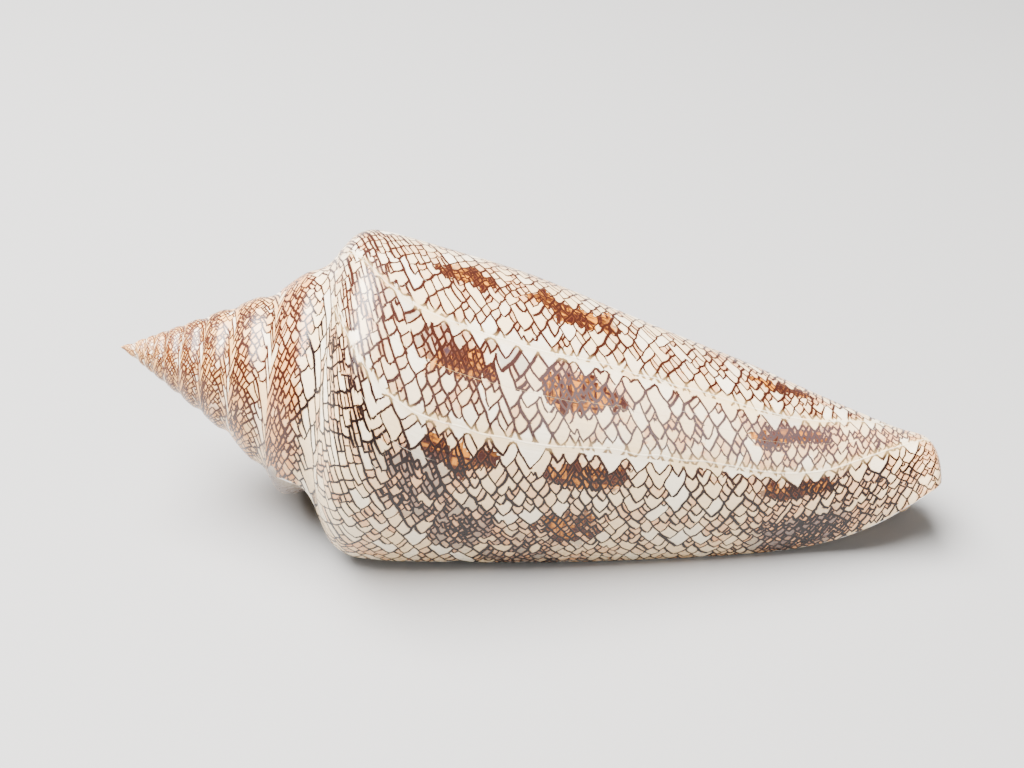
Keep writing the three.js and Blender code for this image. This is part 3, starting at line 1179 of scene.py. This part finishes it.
        # Lines: near black on the growth nearest the lip, redder above the younger scar, grey where a sheen
        # is painted between the scars.
        reddish = calc("MAXIMUM", calc("SUBTRACT", 1.0, ease(turn, -0.21, -0.12)), glow)
        ink = blend(calc("MULTIPLY", reddish, 0.8), linear(self.dark_line), linear(self.red_line))
        ink = blend(calc("MULTIPLY", ease(whorl, 0.05, 0.5), 0.75), ink, linear(self.early_line))
        ink = blend(painted_sheen, ink, linear(self.sheen_grey_line))
        drawn = blend(calc("MULTIPLY", edge, 0.34), coloured, linear(self.halo))
        drawn = blend(line, drawn, ink)

        # A scar is a yellowish rim with a thin white thread on it.
        from_scar = calc("ABSOLUTE", scar, 0.0)
        rim = calc("SUBTRACT", 1.0, ease(from_scar, 0.03, 0.16))
        band = calc("SUBTRACT", 1.0, ease(calc("ADD", from_scar, calc("MULTIPLY", mottled, 0.8)), 0.5, 1.5))
        drawn = blend(calc("MULTIPLY", band, 0.3), drawn, linear(self.rim))
        drawn = blend(calc("MULTIPLY", rim, 0.42), drawn, linear(self.white_cell))

        # Fine pale scratches, mostly along the shell.
        scratch = ease(noise(flat, (4.5, 0.035, 1.0), 1.0, 37.0), 0.7, 0.76)
        scratch = calc("MULTIPLY", scratch, ease(noise(flat, (0.09, 0.07, 1.0), 1.0, 43.0), 0.52, 0.62), 0.7)
        drawn = blend(scratch, drawn, linear(self.white_cell))
        colour = blend(ease(part, 0.5, 0.6), drawn, linear(self.inside))

        # Relief: fine growth threads, the scars' steps and a slight unevenness.
        threads = noise(flat, (2.6, 0.07, 1.0), 4.0, 23.0)
        step = ease(scar, -0.15, 0.2)
        relief = calc(
            "ADD",
            calc("MULTIPLY", threads, 0.045),
            calc("MULTIPLY", step, 0.05),
            calc("MULTIPLY", rim, 0.05),
            calc("MULTIPLY", mottled, 0.06),
        )
        bump = add("ShaderNodeBump", {}, {"Strength": 1.0, "Distance": 0.001, "Height": relief})
        rough = calc("ADD", 0.2, calc("MULTIPLY", noise(in_mm, (1.2, 1.2, 1.2), 4.0, 31.0), 0.16))
        shader = add(
            "ShaderNodeBsdfPrincipled",
            {},
            {
                "Base Color": colour,
                "Roughness": rough,
                "Specular IOR Level": 0.34,
                "Coat Weight": 0.15,
                "Coat Roughness": 0.2,
                "Normal": bump,
            },
        )
        add("ShaderNodeOutputMaterial", {}, {"Surface": shader})
        return material


@dataclass
class ConeShell:
    """The shell as one mesh, with the net, all other markings, a painted sheen and painted shade written on
    it.
    """

    growth: Growth
    markings: Markings
    finish: ShellFinish
    body_columns: int = 280
    body_rows: int = 180
    ramp_rows: int = 16
    ramp_columns: tuple[int, ...] = (280, 212, 160, 120, 92, 70, 54, 42, 34)
    hollow_columns: int = 28
    rim_columns: int = 5
    rim_bulge: float = 0.6
    weld_mm: float = 0.002
    # Strength of the painted sheen: a painted highlight that greys the lines between the scars.
    painted_sheen: float = 0.14

    def lip_edge(self, front: Array) -> Array:
        """Growth at the lip's edge, a little uneven, with one chip in it."""
        chip = 0.007 * np.exp(-(((front - 21.8) / 1.1) ** 4))
        uneven = 0.0009 * (1 + cloud(front / 2.6, 0 * front, 41)) * fade(front, 4, 10)
        return self.growth.shoulder_lead - chip - uneven

    def chipped(self, turn: Array, front: Array) -> Array:
        """Growth moved back near the lip, so that the sheet ends at the lip's edge."""
        near = fade(turn, self.growth.shoulder_lead - 0.02, self.growth.shoulder_lead)
        return turn - near * (self.growth.shoulder_lead - self.lip_edge(np.maximum(front, 0)))

    def ramp_sheet(self, whorl: int) -> Sheet:
        """The sloping top of one whorl.

        Args:
            whorl: 0 for the last.

        Returns:
            The sheet.
        """
        growth = self.growth
        latest = growth.shoulder_lead - whorl
        turns = min(1.0, latest + growth.turns)

        def growth_at(column: Array, row: Array) -> tuple[Array, Array]:
            """Growth and place on the growing edge."""
            return latest - turns * column, growth.ramp_width * (row - 1)

        def point_at(column: Array, row: Array) -> Array:
            """Point of the ramp."""
            turn, front = growth_at(column, row)
            return growth.skin(turn, np.minimum(front, -1e-9))

        return Sheet(f"ramp_{whorl}", self.ramp_columns[whorl], self.ramp_rows, point_at, growth_at)

    def body_sheet(self) -> Sheet:
        """The body whorl."""
        growth = self.growth

        def growth_at(column: Array, row: Array) -> tuple[Array, Array]:
            """Growth and place on the growing edge."""
            return growth.shoulder_lead - column, growth.outline_length() * row

        def point_at(column: Array, row: Array) -> Array:
            """Point of the body."""
            turn, front = growth_at(column, row)
            return growth.skin(self.chipped(turn, front), front)

        return Sheet("body", self.body_columns, self.body_rows, point_at, growth_at)

    def hollow_sheet(self) -> Sheet:
        """The hollow: in along its floor, back along the wall, and over the lip's rounded edge."""
        growth, hollow = self.growth, Hollow(self.growth)
        columns = 2 * self.hollow_columns + 1 + self.rim_columns
        floor_end = self.hollow_columns / columns
        wall_end = (2 * self.hollow_columns + 1) / columns
        rows = self.ramp_rows + self.body_rows

        def share_of(row: Array) -> Array:
            """Share of the way from suture to narrow end, on the same rows as the outer sheets."""
            step = row * rows
            on_ramp = hollow.ramp_share * step / self.ramp_rows
            on_body = hollow.ramp_share + (1 - hollow.ramp_share) * (step - self.ramp_rows) / self.body_rows
            return np.where(step <= self.ramp_rows, on_ramp, on_body)

        def floor_turn_at(step: Array) -> Array:
            """Growth of the floor's columns, closer together by the aperture."""
            inward = np.clip(step / self.hollow_columns, 0, 1) ** 1.5
            return growth.shoulder_lead - 1 - hollow.open_turns * inward

        def growth_at(column: Array, row: Array) -> tuple[Array, Array]:
            """Growth and place on the growing edge."""
            step = column * columns
            turn = np.where(step <= self.hollow_columns, floor_turn_at(step), growth.shoulder_lead)
            return turn, hollow.front(share_of(row))

        def point_at(column: Array, row: Array) -> Array:
            """Point of the hollow or of the lip's edge."""
            share = share_of(row)
            front = np.maximum(hollow.front(share), 0)
            step = column * columns
            out_of = np.clip((2 * self.hollow_columns + 1 - step) / self.hollow_columns, 0, 1) ** 1.5
            floor_turn = floor_turn_at(step)
            wall_turn = self.chipped(growth.shoulder_lead - hollow.open_turns * out_of, front)
            floor = growth.place(*hollow.floor(floor_turn, share))
            wall = growth.place(*hollow.wall(wall_turn, share))
            edge_turn = self.chipped(growth.shoulder_lead + 0 * share, front)
            outer = growth.place(*hollow.outside(edge_turn, share))
            behind = growth.place(*hollow.outside(edge_turn - 0.003, share))
            ahead = outer - behind
            ahead /= np.maximum(np.linalg.norm(ahead, axis=-1, keepdims=True), 1e-9)
            over = np.clip((step - 2 * self.hollow_columns - 1) / self.rim_columns, 0, 1) * np.pi
            half = (wall - outer) / 2
            bulge = self.rim_bulge * np.linalg.norm(half, axis=-1, keepdims=True)
            rim = (wall + outer) / 2 + half * np.cos(over)[:, None] + ahead * bulge * np.sin(over)[:, None]
            on_floor = (step <= self.hollow_columns)[:, None]
            on_wall = (step <= 2 * self.hollow_columns + 1)[:, None]
            return np.where(on_floor, floor, np.where(on_wall, wall, rim))

        return Sheet("hollow", columns, rows, point_at, growth_at, False, Facing.AWAY, floor_end)

    def canal_sheet(self) -> Sheet:
        """The edge round the canal at the narrow end."""
        growth, hollow = self.growth, Hollow(self.growth)

        def growth_at(column: Array, row: Array) -> tuple[Array, Array]:
            """Growth and place on the growing edge."""
            return growth.shoulder_lead - hollow.open_turns * column, growth.outline_length() + 0 * row

        def point_at(column: Array, row: Array) -> Array:
            """Point of the edge."""
            turn, front = growth_at(column, row)
            turn = self.chipped(turn, front)
            skin = growth.place(*growth.body(turn, front))
            wall = growth.place(*hollow.wall(turn, np.ones_like(turn)))
            return skin + (wall - skin) * row[:, None]

        return Sheet("canal_edge", 90, 1, point_at, growth_at, False, Facing.END)

    def pillar_sheet(self) -> Sheet:
        """The end of the pillar, closed to a point on the axis."""
        growth, hollow = self.growth, Hollow(self.growth)
        blind = growth.shoulder_lead - hollow.open_turns
        tip = growth.body(np.array(blind - 0.5), np.array(growth.outline_length()))[0] + hollow.pillar_end

        def growth_at(column: Array, row: Array) -> tuple[Array, Array]:
            """Growth and place on the growing edge."""
            return blind - column, growth.outline_length() + 0 * row

        def point_at(column: Array, row: Array) -> Array:
            """Point of the pillar's end."""
            turn, front = growth_at(column, row)
            around = growth.place(*growth.body(turn, front))
            return around + (np.array([tip, 0, 0]) - around) * row[:, None]

        return Sheet("pillar_end", 72, 1, point_at, growth_at, False, Facing.END)

    def scar_distance(self, turn: Array, along: Array) -> Array:
        """Distance from the nearest scar, in millimetres of growth."""
        bent = turn - 0.006 * cloud(along / 14, 0 * along, 51) - 0.0016 * cloud(along / 3, 0 * along, 52)
        bent = bent - 0.012 * fade(-along, -34, -26)
        girth = 2 * np.pi * self.growth.girth_out(along)
        away = np.stack([(bent - scar) * girth for scar in self.markings.scars])
        nearest = np.abs(away).argmin(0)
        return np.clip(np.take_along_axis(away, nearest[None], 0)[0], -4, 4)

    def write(self, mesh: bpy.types.Mesh, name: str, domain: str, values: Array) -> None:
        """Writes four numbers for each point or corner."""
        layer = mesh.attributes.new(name, "FLOAT_COLOR", domain)
        layer.data.foreach_set("color", np.ascontiguousarray(values, np.float32).ravel())

    def marked(self, sheet: Sheet, stamp: NetStamp, cut: Segments) -> bpy.types.Mesh:
        """Makes a sheet and writes its markings.

        Args:
            sheet: the sheet.
            stamp: writes the net.
            cut: the net's lines.

        Returns:
            The mesh in millimetres.
        """
        mesh, column, row = sheet.made(self.growth.rested)
        turn, front = sheet.growth_at(column / sheet.columns, row / sheet.rows)
        on_body = front >= 0
        along, _ = self.growth.outline(np.maximum(front, 0))
        settled = np.where(on_body, self.growth.settled(turn, np.maximum(front, 0)), turn)
        across = np.clip(1 + front / self.growth.ramp_width, 0, 1)
        age = np.clip(-turn / self.growth.turns, 0, 1) * (sheet.name.startswith("ramp"))
        inward = self.growth.shoulder_lead - 1 - turn
        part = np.zeros_like(age) if sheet.netted else np.where(inward < -0.5, 1, fade(inward, 0.02, 0.16))
        self.write(mesh, "growth", "POINT", np.stack([settled, along, age, part], 1))

        body_only = on_body * (1.0 if sheet.netted else 0.0)
        scar = np.where(body_only > 0, self.scar_distance(settled, along), 4.0)
        stained = self.markings.amount(self.markings.stains, settled, along) * body_only
        smoke_and_painted_shade = self.markings.amount(self.markings.smokes, settled, along) * body_only
        # Painted shade: on the hollow, canal and pillar sheets, everything the inside colour does not cover
        # gets full smoke grey, so the recessed edges by the opening look shaded.
        if not sheet.netted:
            smoke_and_painted_shade = 1 - part
        # Painted sheen: between the two scars, from the middle of the body towards the narrow end, the lines
        # are greyed to stand in for a highlight.
        painted_sheen_share = fade(settled, -0.275, -0.25) * (1 - fade(settled, -0.2, -0.17))
        painted_sheen_share = self.painted_sheen * painted_sheen_share * fade(along, 50, 62) * body_only
        glow = np.where(on_body, 0, 1 - fade(across, 0.42, 0.62)) * (1.0 if sheet.netted else 0.0)
        chance, room = np.full(len(turn), 1.0), np.full(len(turn), 2.0)
        quads = len(mesh.polygons)
        distance = np.full((quads, 4, stamp.channels), stamp.far)
        if sheet.netted:
            columns, rows = sheet.columns, sheet.rows
            flat = np.empty(len(mesh.vertices) * 3)
            mesh.vertices.foreach_get("co", flat)
            index = np.empty((columns + 1, rows + 1), int)
            index[column, row] = np.arange(len(column))
            grid = self.unrested(flat.reshape(-1, 3))[index]
            found = stamp.stamp(cut, grid, turn[index][:, 0], front[index][0])
            label, chance_grid, room_grid = stamp.cells(found, grid)
            chance[index], room[index] = chance_grid, room_grid
            members = np.maximum(np.bincount(label.ravel()), 1)
            for amount in (stained, smoke_and_painted_shade, glow):
                amount[index] = (np.bincount(label.ravel(), amount[index].ravel()) / members)[label]
            corners = np.empty(len(mesh.loops), int)
            mesh.loops.foreach_get("vertex_index", corners)
            quad_column, quad_row = column[corners].reshape(-1, 4), row[corners].reshape(-1, 4)
            low_column, low_row = quad_column.min(1, keepdims=True), quad_row.min(1, keepdims=True)
            corner = np.array([[0, 3], [1, 2]])[quad_column - low_column, quad_row - low_row]
            distance = found[low_column, low_row, corner]
        self.write(mesh, "marks_and_painted_light", "POINT", np.stack([scar, stained, smoke_and_painted_shade, painted_sheen_share], 1))
        self.write(mesh, "cell", "POINT", np.stack([chance, room, glow, 0 * room], 1))
        self.write(mesh, "net_a", "CORNER", distance[..., :4])
        self.write(mesh, "net_b", "CORNER", distance[..., 4:])
        return mesh

    def unrested(self, points: Array) -> Array:
        """Undoes the turn to the resting pose."""
        level = Growth(dip=-self.growth.dip)
        return level.rested(points)

    def build(self, box: tuple[Vector, Vector]) -> bpy.types.Object:
        """Builds the shell in its place.

        Args:
            box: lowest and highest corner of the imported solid, in metres.

        Returns:
            The shell's object.
        """
        trails = NetWeaver(self.growth, self.markings).weave()
        LOG.info("net woven: %d lines", len(trails))
        stamp = NetStamp(self.growth)
        cut = stamp.cut(trails)
        sheets = [self.ramp_sheet(whorl) for whorl in range(len(self.ramp_columns))]
        sheets += [self.body_sheet(), self.hollow_sheet(), self.canal_sheet(), self.pillar_sheet()]
        objects = []
        for sheet in sheets:
            mesh = self.marked(sheet, stamp, cut)
            made = bpy.data.objects.new(sheet.name, mesh)
            bpy.context.scene.collection.objects.link(made)
            objects.append(made)
            LOG.info("sheet %s: %d faces", sheet.name, len(mesh.polygons))
        shell = objects[len(self.ramp_columns)]
        with bpy.context.temp_override(active_object=shell, selected_editable_objects=objects):
            bpy.ops.object.join()
        shell.name = shell.data.name = "cone_shell"
        bm = bmesh.new()
        bm.from_mesh(shell.data)
        bmesh.ops.remove_doubles(bm, verts=bm.verts[:], dist=self.weld_mm)
        bmesh.ops.dissolve_degenerate(bm, edges=bm.edges[:], dist=1e-5)
        bm.to_mesh(shell.data)
        bm.free()
        shell.data.shade_smooth()
        self.settle(shell, box)
        shell.data.materials.append(self.finish.material())
        return shell

    def settle(self, shell: bpy.types.Object, box: tuple[Vector, Vector]) -> None:
        """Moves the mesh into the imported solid's place.

        Args:
            shell: the shell's object, in millimetres.
            box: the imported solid's box.
        """
        tip = self.growth.rested(self.growth.skin(np.array([-self.growth.turns]), np.array([-1e-9])))[0]
        low, high = box
        base = Vector((low.x - float(tip[0]) * MM, 0, 0))
        shell.data.transform(Matrix.Translation(base) @ Matrix.Scale(MM, 4))
        points = np.empty(len(shell.data.vertices) * 3)
        shell.data.vertices.foreach_get("co", points)
        points = points.reshape(-1, 3)
        middle = (points.min(0) + points.max(0)) / 2
        centre = (low + high) / 2
        move = Vector((centre.x - middle[0], centre.y - middle[1], low.z - points[:, 2].min()))
        shell.data.transform(Matrix.Translation(move))


@dataclass(frozen=True)
class Studio:
    """Floor, soft lamps and the camera."""

    floor_size: float = 8.0
    floor_colour: str = "#9A9896"
    focal_mm: float = 49.22
    camera_mm: tuple[float, float, float] = (-2.67, -160.44, 113.73)
    camera_turn: tuple[float, float, float] = (59.607, -2.185, 1.487)
    room_colour: str = "#EDEFF2"
    room_strength: float = 0.32

    def floor(self, height: float) -> bpy.types.Object:
        """Lays the floor.

        Args:
            height: where the shell rests, in metres.

        Returns:
            The floor's object.
        """
        bm = bmesh.new()
        bmesh.ops.create_grid(bm, x_segments=1, y_segments=1, size=self.floor_size / 2)
        bmesh.ops.translate(bm, verts=bm.verts[:], vec=(0, 0, height))
        mesh = bpy.data.meshes.new("floor")
        bm.to_mesh(mesh)
        bm.free()
        material = bpy.data.materials.new("matt_paper_floor")
        material.use_nodes = True
        material.node_tree.nodes.clear()
        tree = NodeTree(material)
        paper = {"Base Color": linear(self.floor_colour), "Roughness": 0.7}
        tree.add("ShaderNodeOutputMaterial", {}, {"Surface": tree.add("ShaderNodeBsdfPrincipled", {}, paper)})
        mesh.materials.append(material)
        floor = bpy.data.objects.new("floor", mesh)
        bpy.context.scene.collection.objects.link(floor)
        return floor

    def lamp(self, name: str, place: tuple, size: tuple[float, float], power: float) -> bpy.types.Object:
        """Hangs a soft lamp that looks at the shell.

        Args:
            name: its name.
            place: where it hangs, in metres.
            size: its width and height in metres.
            power: watts.

        Returns:
            The lamp's object.
        """
        data = bpy.data.lights.new(name, "AREA")
        data.shape = "RECTANGLE"
        data.size, data.size_y = size
        data.energy = power
        lamp = bpy.data.objects.new(name, data)
        lamp.location = place
        lamp.rotation_euler = (Vector((0, 0, 0.015)) - lamp.location).to_track_quat("-Z", "Y").to_euler()
        bpy.context.scene.collection.objects.link(lamp)
        return lamp

    def camera(self) -> bpy.types.Object:
        """Sets up the camera.

        Returns:
            The camera's object.
        """
        data = bpy.data.cameras.new("camera")
        data.lens, data.sensor_width = self.focal_mm, 36.0
        data.clip_start, data.clip_end = 0.01, 10
        camera = bpy.data.objects.new("camera", data)
        camera.location = Vector(self.camera_mm) * MM
        camera.rotation_euler = [math.radians(angle) for angle in self.camera_turn]
        bpy.context.scene.collection.objects.link(camera)
        bpy.context.scene.camera = camera
        return camera

    def world(self) -> None:
        """Lights the room evenly and faintly."""
        world = bpy.data.worlds.new("room")
        world.use_nodes = True
        background = world.node_tree.nodes["Background"]
        background.inputs["Color"].default_value = linear(self.room_colour)
        background.inputs["Strength"].default_value = self.room_strength
        bpy.context.scene.world = world


def main() -> None:
    """Builds the shell and its studio."""
    logging.basicConfig(level=logging.INFO, format="%(name)s: %(message)s")
    LOG.info("frame loaded: %d node", len(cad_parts))
    shell = ConeShell(Growth(), Markings(), ShellFinish()).build(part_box("shell"))
    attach(shell, "root")
    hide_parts("shell")
    LOG.info("cone shell built: %d faces", len(shell.data.polygons))

    studio = Studio()
    studio.floor(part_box("shell")[0].z)
    studio.lamp("window", place=(-0.25, 0.0, 0.68), size=(0.8, 0.5), power=51.0)
    studio.lamp("fill", place=(0.5, -0.6, 0.45), size=(0.7, 0.7), power=4.0)
    studio.world()
    studio.camera()
    LOG.info("studio set")


if __name__ == "__main__":
    main()
